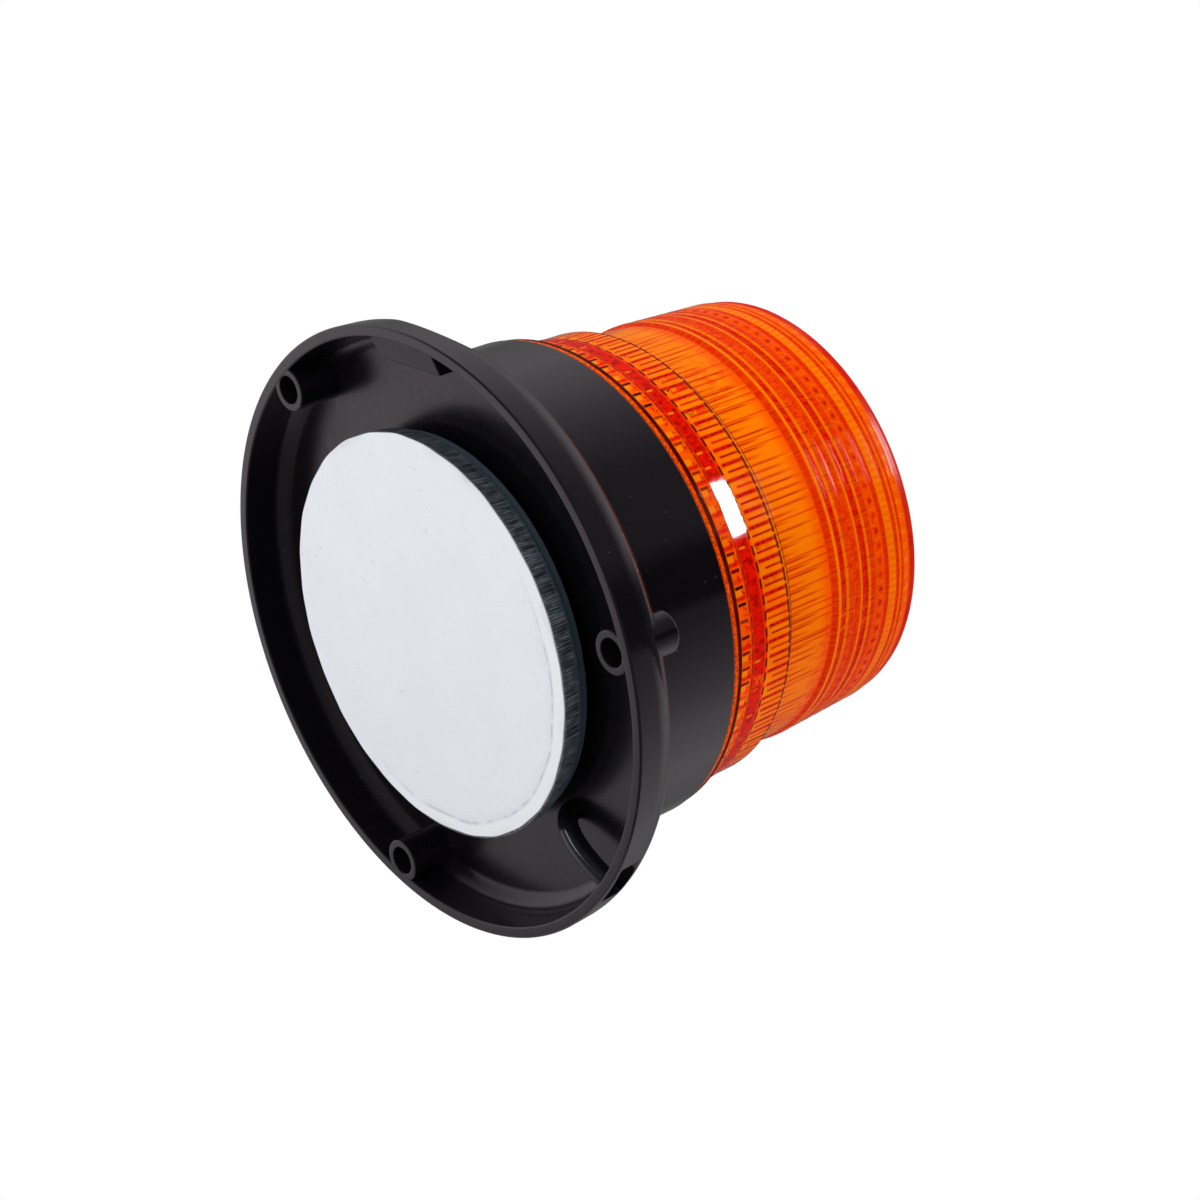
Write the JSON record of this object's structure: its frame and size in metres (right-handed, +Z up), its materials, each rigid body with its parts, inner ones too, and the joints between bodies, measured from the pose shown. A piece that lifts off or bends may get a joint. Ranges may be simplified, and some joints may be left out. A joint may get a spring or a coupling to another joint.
{
  "type": "magnetic strobe beacon",
  "caption": "Warning strobe with an amber ribbed lens that twists off a round black base, held to steel by a flat disc magnet or bolted down through its flange.",
  "frame": {"origin": "centre of the magnet's contact face", "axes": "+Z up along the beacon's axis, from the magnet to the lens; +Y towards the cable outlet"},
  "size_m": [0.1419, 0.142, 0.1043],
  "materials": {
    "black_plastic": "glossy",
    "amber_lens": "glossy, see-through",
    "seal_rubber": "matt",
    "white_film": "satin",
    "ferrite": "ground",
    "plated_steel": "satin",
    "sleeve_rubber": "satin",
    "board": "satin",
    "brass": "plain",
    "bright_aluminium": "polished",
    "white_plastic": "satin",
    "tube_glass": "clear",
    "foil": "satin",
    "capacitor_sleeve": "glossy",
    "winding_tape": "satin",
    "core_ferrite": "matt",
    "sink_aluminium": "satin",
    "black_epoxy": "matt",
    "terminal_plastic": "satin",
    "resistor_coat": "satin"
  },
  "bodies": {
    "base": {"base_housing": "black_plastic", "lens_seal": "seal_rubber", "magnet_film": "white_film", "magnet_ring": "ferrite", "magnet_plate": "plated_steel", "magnet_bolt": "plated_steel", "magnet_washer": "plated_steel", "magnet_nut": "plated_steel", "cable_sleeve": "sleeve_rubber", "circuit_board": "board", "board_pillars": "brass", "reflector_screws": "plated_steel", "reflector": "bright_aluminium", "tube_holder": "white_plastic", "flash_tube": "tube_glass", "tube_electrodes": "plated_steel", "trigger_bands": "foil", "storage_capacitor": "capacitor_sleeve", "transformer_winding": "winding_tape", "transformer_core": "core_ferrite", "trigger_coil": "winding_tape", "heat_sink": "sink_aluminium", "power_transistor": "black_epoxy", "timing_chip": "black_epoxy", "terminal_block": "terminal_plastic", "terminal_screws": "plated_steel", "resistors": "resistor_coat"},
    "lens_cap": {"lens": "amber_lens"}
  },
  "joints": [
    {"name": "lens_twist", "type": "hinge", "parent": "base", "child": "lens_cap", "pos_m": [0, 0, 0.0402], "axis": [0, 0, 1], "range_deg": [0, 35]}
  ]
}
